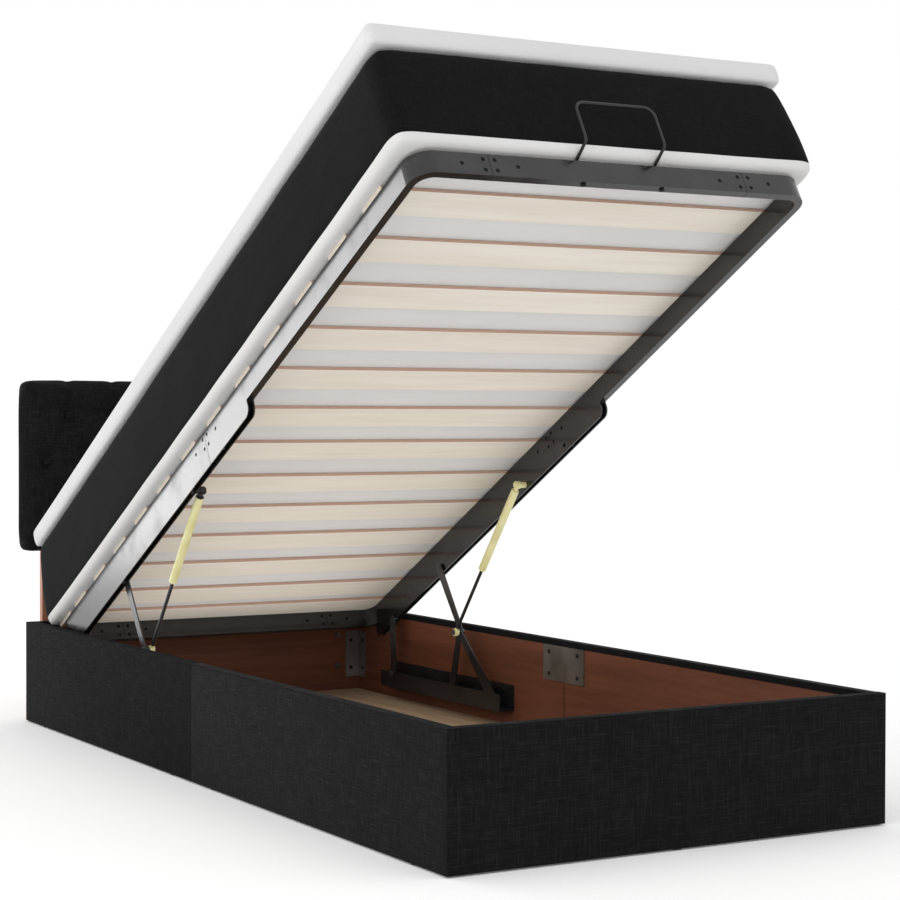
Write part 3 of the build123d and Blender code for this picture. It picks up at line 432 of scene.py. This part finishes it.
# The headboard: a board wrapped in thick wadding and black linen, with three rows
# of covered buttons pulled through it. Soft pleats run from button to button, and
# it stands on two flat wooden legs bolted to the head panel over spacers.
head_front = box_head + 0.003
head_back = head_front + 0.044
head_low = 0.413
head_high = 0.831
head_corner = 0.020
core_thick = 0.018
core_wrap = 0.0042
button_rows = (0.747, 0.632, 0.517)
button_pitch = 0.116
button_margin = 0.026
button_radius = 0.010
button_high = 0.006
button_seat = 0.0090
button_flat = 0.25
tuft_deep = 0.0130
tuft_wide = 0.027
pleat_deep = 0.0085
pleat_wide = 0.0085
pleat_reach = 0.035
rumple = 0.0009
side_bulge = 0.005
notch_wide = 0.010
notch_front = 0.0045
notch_back = 0.003
rim_round = 0.009
head_wood = wood_finish("head_board_wood", (0.30, 0.19, 0.11), (0.44, 0.30, 0.19), rough=0.7, gloss=0.2)
leg_wood = wood_finish("terracotta_leg", (0.30, 0.115, 0.065), (0.44, 0.19, 0.11), grain_upright)
finish_parts(head_wood, "headboard_core")
finish_parts(leg_wood, "headboard_leg_left", "headboard_leg_right", "headboard_spacers")
finish_parts(screw_steel, "headboard_bolts")

headboard_linen = linen_finish("headboard_linen", (0.0008, 0.0008, 0.0009), (0.0200, 0.0200, 0.0210))
buttons = []
for row, z in enumerate(button_rows):
    shift = button_pitch / 2 * (row % 2)
    buttons.extend((button_pitch * k + shift, z) for k in range(-5, 5)
                   if abs(button_pitch * k + shift) < box_half - button_margin)


def even_mesh(piece, voxel):
    # Rebuilds the mesh in even small faces.
    remesh = piece.modifiers.new("even", "REMESH")
    remesh.mode = "VOXEL"
    remesh.voxel_size = voxel
    remesh.use_smooth_shade = True
    ready = piece.evaluated_get(bpy.context.evaluated_depsgraph_get())
    mesh = bpy.data.meshes.new_from_object(ready)
    piece.modifiers.clear()
    piece.data = mesh


def plump(piece, pressure, cap, held=None):
    # Lets the cover swell over its filling. No point moves further than the cap, and
    # held points stay.
    start = [v.co.copy() for v in piece.data.vertices]
    cloth = piece.modifiers.new("cover", "CLOTH")
    cloth.settings.use_pressure = True
    cloth.settings.uniform_pressure_force = pressure
    cloth.settings.effector_weights.gravity = 0
    if held:
        group = piece.vertex_groups.new(name="held")
        group.add(held, 1.0, "REPLACE")
        cloth.settings.vertex_group_mass = "held"
    for step in range(1, 21):
        scene.frame_set(step)
    ready = piece.evaluated_get(bpy.context.evaluated_depsgraph_get())
    swollen = [v.co.copy() for v in ready.data.vertices]
    piece.modifiers.clear()
    for vertex, was, now in zip(piece.data.vertices, start, swollen):
        move = now - was
        if move.length > cap:
            move = move * (cap / move.length)
        vertex.co = was + move
    scene.frame_set(1)


def finer(piece):
    smooth = piece.modifiers.new("finer", "SUBSURF")
    smooth.levels = 1
    smooth.render_levels = 1


def near_line(x, z, a, b):
    # Distance from a point to a pleat, and how far along the pleat it is.
    dx, dz = b[0] - a[0], b[1] - a[1]
    share = ((x - a[0]) * dx + (z - a[1]) * dz) / (dx * dx + dz * dz)
    share = min(1, max(0, share))
    return math.hypot(x - a[0] - share * dx, z - a[1] - share * dz), share


row_gap = button_rows[0] - button_rows[1]
pleats = []
for place in buttons:
    for other in buttons:
        aside = abs(abs(other[0] - place[0]) - button_pitch / 2)
        if aside < 0.001 and 0 < place[1] - other[1] < row_gap + 0.005:
            pleats.append((place, other))
    if place[1] == button_rows[0]:
        pleats.append((place, (place[0], head_high)))
    if place[1] == button_rows[-1]:
        pleats.append((place, (place[0], head_low)))


def tuft_at(x, z):
    gap = min(math.hypot(x - a, z - b) for a, b in buttons)
    return tuft_deep * math.exp(-(gap / tuft_wide) ** 2)


def outward_gap(x, z):
    # How far inside the headboard's rounded outline a point lies.
    dx = abs(x) - box_half + head_corner
    dz = abs(z - (head_low + head_high) / 2) - (head_high - head_low) / 2 + head_corner
    if dx > 0 and dz > 0:
        return head_corner - math.hypot(dx, dz)
    return head_corner - max(dx, dz)


def pleat_at(x, z):
    # How deep the cloth is drawn in at a point; each pleat is shallower halfway along.
    crease = 0
    for a, b in pleats:
        if min(a[0], b[0]) - pleat_reach < x < max(a[0], b[0]) + pleat_reach:
            gap, share = near_line(x, z, a, b)
            if gap < pleat_reach:
                deep = pleat_deep * (1 - 0.4 * math.sin(math.pi * share))
                crease = max(crease, deep * math.exp(-(gap / pleat_wide) ** 2))
    return crease


shape = bmesh.new()
box_between(shape, (-box_half, head_front + 0.001, head_low), (box_half, head_back, head_high))
corners = [e for e in shape.edges if abs(e.verts[0].co.y - e.verts[1].co.y) > 0.03]
round_off(shape, corners, head_corner, 5)
rim = [e for e in shape.edges if all(v.co.y < head_front + 0.002 for v in e.verts)]
round_off(shape, rim, rim_round, 4)
pad = new_piece("headboard_cushion", shape, None, None)
even_mesh(pad, 0.005)
for vertex in pad.data.vertices:
    x, y, z = vertex.co
    front = min(1, max(0, (head_front + 0.018 - y) / 0.014))
    vertex.co.y += front * tuft_at(x, z)
held = [v.index for v in pad.data.vertices if v.co.y > head_back - 0.010
        or any(math.hypot(v.co.x - a, v.co.z - b) < button_radius for a, b in buttons)]
plump(pad, 4.0, 0.004, held)
for vertex in pad.data.vertices:
    x, y, z = vertex.co
    front = min(1, max(0, (head_front + 0.018 - y) / 0.012))
    side = max(0, 1 - abs(y - head_front - 0.024) / 0.022)
    if abs(x) > box_half - 0.012:
        vertex.co.x += math.copysign(side_bulge * side, x)
    if front:
        vertex.co.y += front * (pleat_at(x, z) + rumple * noise.noise(Vector((x * 30, 7, z * 30))))
    if y > head_back - 0.004 and outward_gap(x, z) > core_wrap:
        vertex.co.y = head_back - core_thick + 0.0006
    if z > head_high - 0.014:
        nearest = min(abs(x - a) for a, b in buttons if b == button_rows[0])
        vertex.co.z -= (notch_front if front else notch_back) * math.exp(-(nearest / notch_wide) ** 2)
finer(pad)
pad.data.materials.append(headboard_linen)
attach(pad, "base")
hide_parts("headboard_pad")

shape = bmesh.new()
for x, z in buttons:
    dome = bmesh.ops.create_uvsphere(shape, u_segments=20, v_segments=12, radius=button_radius)["verts"]
    bmesh.ops.scale(shape, verts=dome, vec=(1, button_high / button_radius, 1))
    bmesh.ops.translate(shape, verts=dome, vec=(x, head_front + button_seat, z))
for vertex in shape.verts:
    behind = vertex.co.y - head_front - button_seat
    if behind > hair:
        vertex.co.y -= behind * (1 - button_flat)
covered_buttons = new_piece("covered_buttons", shape, "base", headboard_linen,
                            ["headboard_buttons"])

# The lift gear: pressed steel brackets on the side rails, flat links and rails with
# a black baked finish, bright rivets and pins. Each side has a gas strut: a pale
# yellow cylinder with a black rod and yellow eyes.
gear_black = hard_finish("gear_black", (0.010, 0.010, 0.0105), (0.018, 0.018, 0.019), 0.30, gloss=0.5)
link_steel = hard_finish("link_steel", (0.018, 0.018, 0.019), (0.032, 0.032, 0.034), 0.26, gloss=0.7)
finish_parts(gear_black, "base_bracket_left", "base_bracket_right")
finish_parts(link_steel, "rear_link_left", "rear_link_right", "front_link_left", "front_link_right")
finish_parts(screw_steel, "bracket_pivot_pins", "lift_rail_pins", "lift_rail_bolts")

strut_foot = (0, 0.3775, 0.230)
strut_lean = math.radians(127.66756841500913 - 90)
rod_eye_end = 0.014
tube_eye_start = 0.4385


def split_axes(tree, vector):
    node = tree.nodes.new("ShaderNodeSeparateXYZ")
    tree.links.new(vector, node.inputs[0])
    return node.outputs


def strut_finish(name, zones):
    # Each zone of paint starts at a distance up the strut from the low pivot.
    finish, tree, skin, spot = new_finish(name, strut_foot, (strut_lean, 0, 0))
    worn = with_effect(tree, mottle, spot, Grit=700.0)
    up_strut = split_axes(tree, spot)["Z"]
    colour = colour_between(tree, worn["Patches"], *zones[0][1])
    for start, paint in zones[1:]:
        above = reckon(tree, "GREATER_THAN", up_strut, start)
        colour = colour_between(tree, above, colour, colour_between(tree, worn["Patches"], *paint))
    tree.links.new(colour, skin["Base Color"])
    tree.links.new(ranged(tree, worn["Dust"], 0, 1, 0.34, 0.5), skin["Roughness"])
    skin["Specular IOR Level"].default_value = 0.5
    raise_surface(tree, skin, worn["Height"], 0.00004, 0.4)
    return finish


strut_yellow = ((0.66, 0.62, 0.30), (0.76, 0.73, 0.40))
strut_black = ((0.012, 0.012, 0.013), (0.022, 0.022, 0.024))
rod_finish = strut_finish("strut_rod_finish", [(0, strut_yellow), (rod_eye_end, strut_black)])
left_tube = strut_finish("strut_left_tube", [(0, strut_yellow), (tube_eye_start, strut_black)])
right_tube = strut_finish("strut_right_tube", [(0, strut_yellow)])
finish_parts(rod_finish, "strut_rod_left", "strut_rod_right")
finish_parts(left_tube, "strut_cylinder_left")
finish_parts(right_tube, "strut_cylinder_right")

# The platform frame: a ring of rectangular steel tube in glossy black paint, made
# in six lengths joined by inner sleeves and screws, with a pressed steel channel
# bolted under each side tube to carry the lift gear.
platform_place = (0, bed_foot + 1.9475, 0.2545)
platform_tilt = math.radians(29.2)
platform_turned = (-platform_tilt, 0, 0)
to_platform = Matrix.Translation(platform_place) @ Matrix.Rotation(-platform_tilt, 4, "X")
frame_paint = hard_finish("frame_paint", (0.0065, 0.0065, 0.007), (0.013, 0.013, 0.0138), 0.17, gloss=0.62,
                          grit=650.0, depth=0.00002, place=platform_place, turned=platform_turned)

# A fine dark line shows where two lengths of tube meet: twice in each end, once in each side.
joint_across = 0.275
joint_along = 0.9905
joint_line = 0.0006
joint_dark = (0.0008, 0.0008, 0.0008)
tree = frame_paint.node_tree
skin = tree.nodes["Principled BSDF"].inputs
parts = split_axes(tree, tree.nodes["Mapping"].outputs["Vector"])
from_middle = reckon(tree, "ABSOLUTE", parts["X"], None)
end_joint = reckon(tree, "COMPARE", from_middle, joint_across, joint_line)
side_joint = reckon(tree, "MULTIPLY", reckon(tree, "COMPARE", parts["Y"], -joint_along, joint_line),
                    reckon(tree, "GREATER_THAN", from_middle, joint_across))
joint = reckon(tree, "MAXIMUM", end_joint, side_joint)
painted = skin["Base Color"].links[0].from_socket
tree.links.new(colour_between(tree, joint, painted, joint_dark), skin["Base Color"])
gritty = skin["Roughness"].links[0].from_socket
tree.links.new(reckon(tree, "MAXIMUM", gritty, joint), skin["Roughness"])
sleeve_steel = hard_finish("sleeve_steel", (0.05, 0.05, 0.052), (0.09, 0.09, 0.093), 0.5, metal=0.7)
dark_screw = hard_finish("dark_screw", (0.003, 0.003, 0.003), (0.006, 0.006, 0.006), 0.55, gloss=0.15)
finish_parts(frame_paint, "frame_foot_tube", "frame_head_tube")
for side in ("left", "right"):
    finish_parts(frame_paint, "frame_foot_corner_" + side, "frame_head_corner_" + side, "lift_rail_" + side)
finish_parts(sleeve_steel, "frame_sleeves")
finish_parts(dark_screw, "frame_sleeve_screws", "handle_screws")

# The slats: thirteen boards of pressed birch ply, 78 mm wide and 8 mm thick, each
# riveted to both side tubes. Their faces are pale cream and their edges show the
# pinkish-brown plies, with painted shade darkening the long edges and painted light
# paling the ends.
slat_high = -0.019
slat_thick = 0.008
slat_wide = 0.078
slat_skin = 0.0006
slat_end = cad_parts["slats"].bound_box[6][0]
platform_long = 2.0
slat_edges = (0.9355, 0.859, 0.7805, 0.702, 0.624, 0.5445, 0.4705, 0.3935, 0.32, 0.2475,
              0.176, 0.105, 0.048)
slat_middles = [slat_wide / 2 - platform_long * share for share in slat_edges]
slat_finish, tree, skin, spot = new_finish("birch_slat", platform_place, platform_turned)
wood = with_effect(tree, grain, spot, Fineness=1.0)
face = colour_between(tree, wood["Grain"], (0.705, 0.655, 0.565), (0.79, 0.745, 0.665))
parts = split_axes(tree, spot)
plies = tree.nodes.new("ShaderNodeTexWave")
plies.wave_type = "BANDS"
plies.bands_direction = "Z"
plies.inputs["Scale"].default_value = 110
plies.inputs["Distortion"].default_value = 0.6
tree.links.new(spot, plies.inputs["Vector"])
# The plies on the long edges: real pinkish-brown plies, painted darker as painted shade.
plies_with_painted_light = colour_between(tree, plies.outputs["Fac"], (0.42, 0.225, 0.16), (0.70, 0.50, 0.385))
# The same plies at the slat ends, painted paler as painted light.
painted_lit_ends = colour_between(tree, plies.outputs["Fac"], (0.60, 0.50, 0.41), (0.74, 0.66, 0.56))
above = reckon(tree, "GREATER_THAN", parts["Z"], slat_high - slat_thick + slat_skin)
below = reckon(tree, "LESS_THAN", parts["Z"], slat_high - slat_skin)
on_edge = reckon(tree, "MULTIPLY", above, below)
# The ends take the paler painted-light copy of the plies, and the long edges take the darker painted-shade copy.
near_end = reckon(tree, "GREATER_THAN", reckon(tree, "ABSOLUTE", parts["X"], None), slat_end - slat_skin)
plies_with_painted_light = colour_between(tree, near_end, plies_with_painted_light, painted_lit_ends)
tree.links.new(colour_between(tree, on_edge, face, plies_with_painted_light), skin["Base Color"])
tree.links.new(ranged(tree, wood["Grain"], 0, 1, 0.55, 0.42), skin["Roughness"])
skin["Specular IOR Level"].default_value = 0.35
raise_surface(tree, skin, wood["Height"], 0.00015, 0.35)
finish_parts(slat_finish, "slats")
finish_parts(screw_steel, "slat_rivets")

# The mattress: a foam block in a sewn cover, black linen round its sides and a pale
# knit underneath, widest at the seam that joins them. It lies on the slats and
# swells a little between them.
mattress_half = 0.450
mattress_long = 2.000
mattress_corner = 0.021
mattress_under = 0.019
mattress_high = 0.189
side_zone = 0.034
side_bend = 0.040
seam_swell = 0.0072
top_lean = 0.0095
corner_lean = 0.007
side_ripple = 0.0012
on_slat = 0.0002
between_slats = 0.0035
edge_strip = 0.424

knit, given, made = new_effect("fine_knit", ["Loops", "Height", "Clouds"])
rib = knit.nodes.new("ShaderNodeTexWave")
rib.bands_direction = "X"
rib.inputs["Scale"].default_value = 160
rib.inputs["Distortion"].default_value = 2.0
knit.links.new(given["Vector"], rib.inputs["Vector"])
loop = noise_on(knit, given["Vector"], 900.0, 2.0)
knit.links.new(reckon(knit, "MULTIPLY", rib.outputs["Fac"], loop), made["Loops"])
knit.links.new(reckon(knit, "ADD", rib.outputs["Fac"], loop), made["Height"])
knit.links.new(noise_on(knit, given["Vector"], 3.0, 3.0), made["Clouds"])

mattress_cover, tree, skin, spot = new_finish("mattress_cover", platform_place, platform_turned)
cloth = with_effect(tree, linen, spot)
shade = reckon(tree, "MULTIPLY_ADD", cloth["Threads"], 0.8, reckon(tree, "MULTIPLY", cloth["Puckers"], 0.2))
band = colour_between(tree, shade, (0.0012, 0.0012, 0.0013), (0.0100, 0.0100, 0.0107))
under = with_effect(tree, knit, spot)
pale = colour_between(tree, under["Clouds"], (0.635, 0.632, 0.622), (0.715, 0.712, 0.702))
is_band = reckon(tree, "GREATER_THAN", split_axes(tree, spot)["Z"], 0.0)
tree.links.new(colour_between(tree, is_band, pale, band), skin["Base Color"])
skin["Roughness"].default_value = 0.92
skin["Specular IOR Level"].default_value = 0.12
raise_surface(tree, skin, reckon(tree, "ADD", cloth["Height"], under["Height"]), 0.0004, 0.6)


def cushion_block(name, inset, corner, low, high, low_edge, high_edge):
    # A rounded block drawn flat, its head end at nought, before it swells.
    shape = bmesh.new()
    half = mattress_half - inset
    box_between(shape, (-half, -mattress_long + inset, low), (half, -inset, high))
    corners = [e for e in shape.edges if abs(e.verts[0].co.z - e.verts[1].co.z) > 0.01]
    round_off(shape, corners, corner, 6)
    for level, radius in ((low, low_edge), (high, high_edge)):
        rim = [e for e in shape.edges if all(abs(v.co.z - level) < hair for v in e.verts)]
        round_off(shape, rim, radius, 4)
    return new_piece(name, shape, None, None)


def fill_out(piece, *spans):
    # Stretches the swollen cover to the size it is sewn to, along X, Y and up.
    for axis, (low, high) in enumerate(spans):
        places = [v.co[axis] for v in piece.data.vertices]
        start, stretch = min(places), (high - low) / (max(places) - min(places))
        for vertex in piece.data.vertices:
            vertex.co[axis] = low + (vertex.co[axis] - start) * stretch


def outward(x, y, corner):
    # Which way is out from the block's outline, and how far inside it a point lies.
    core_x = max(-mattress_half + corner, min(mattress_half - corner, x))
    middle = -mattress_long / 2
    core_y = middle + max(-mattress_long / 2 + corner, min(mattress_long / 2 - corner, y - middle))
    away = Vector((x - core_x, y - core_y, 0))
    if away.length < hair:
        return away, corner
    return away.normalized(), corner - away.length


mattress = cushion_block("mattress_body", 0.004, mattress_corner, -mattress_under, mattress_high,
                         0.016, 0.012)
even_mesh(mattress, 0.014)
plump(mattress, 4.0, 0.006)
fill_out(mattress, (-mattress_half, mattress_half), (-mattress_long, 0))
for vertex in mattress.data.vertices:
    x, y, n = vertex.co
    out, gap = outward(x, y, side_bend)
    if gap < side_zone:
        cornered = abs(out.x * out.y) * 2
        height = max(0, n) / mattress_high
        swell = seam_swell - (top_lean + corner_lean * cornered) * height ** 2.2
        ripple = side_ripple * noise.noise(Vector((x * 9, y * 9, n * 14)))
        move = out * (swell + ripple) * min(1, (side_zone - gap) / 0.02)
        vertex.co.x += move.x
        vertex.co.y += move.y
    if n > mattress_high - 0.0004:
        vertex.co.z = mattress_high - 0.0004
    if n < -0.010 and gap > 0.012:
        resting = -mattress_under + on_slat
        from_slat = min(max(0, abs(y - middle) - slat_wide / 2) for middle in slat_middles)
        slack = min(1, from_slat / 0.035)
        lowest = resting - between_slats * math.sin(slack * math.pi / 2) ** 1.5
        if abs(x) > edge_strip:
            lowest = min(lowest, -mattress_under)
        vertex.co.z = max(min(n, resting), lowest) if gap > 0.03 else max(n, lowest)
mattress.data.transform(to_platform)
finer(mattress)
mattress.data.materials.append(mattress_cover)
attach(mattress, "platform")
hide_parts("mattress")

# The topper: a slab of soft foam in a white knitted cover, as wide and long as the
# mattress. It lies loose on top, with squarer corners, its edges rounded by the filling.
topper_thick = 0.052
topper_corner = 0.012
topper_low = mattress_high + 0.0002
topper_high = mattress_high + topper_thick
topper_cover, tree, skin, spot = new_finish("topper_cover", platform_place, platform_turned)
under = with_effect(tree, knit, spot)
shade = reckon(tree, "MULTIPLY_ADD", under["Clouds"], 0.6, reckon(tree, "MULTIPLY", under["Loops"], 0.5))
tree.links.new(colour_between(tree, shade, (0.60, 0.60, 0.60), (0.73, 0.73, 0.73)), skin["Base Color"])
tree.links.new(ranged(tree, under["Loops"], 0, 1, 0.95, 0.85), skin["Roughness"])
skin["Specular IOR Level"].default_value = 0.15
raise_surface(tree, skin, under["Height"], 0.0004, 0.7)
topper = cushion_block("topper_slab", 0.003, topper_corner, topper_low, topper_high - 0.002, 0.006, 0.010)
even_mesh(topper, 0.010)
plump(topper, 3.0, 0.004)
fill_out(topper, (-mattress_half - 0.001, mattress_half + 0.006), (-mattress_long - 0.002, -0.001),
         (topper_low, topper_high + 0.002))
topper.data.transform(to_platform)
finer(topper)
topper.data.materials.append(topper_cover)
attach(topper, "platform")
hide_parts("topper")

# The pull handle: one bent steel bar in black paint whose two legs stand in the
# foot tube, each held by a screw from below. It stands out past the mattress so
# that a hand fits behind it.
handle_paint = hard_finish("handle_paint", (0.005, 0.005, 0.0055), (0.010, 0.010, 0.011), 0.30, gloss=0.5,
                           place=platform_place, turned=platform_turned)
finish_parts(handle_paint, "pull_handle")
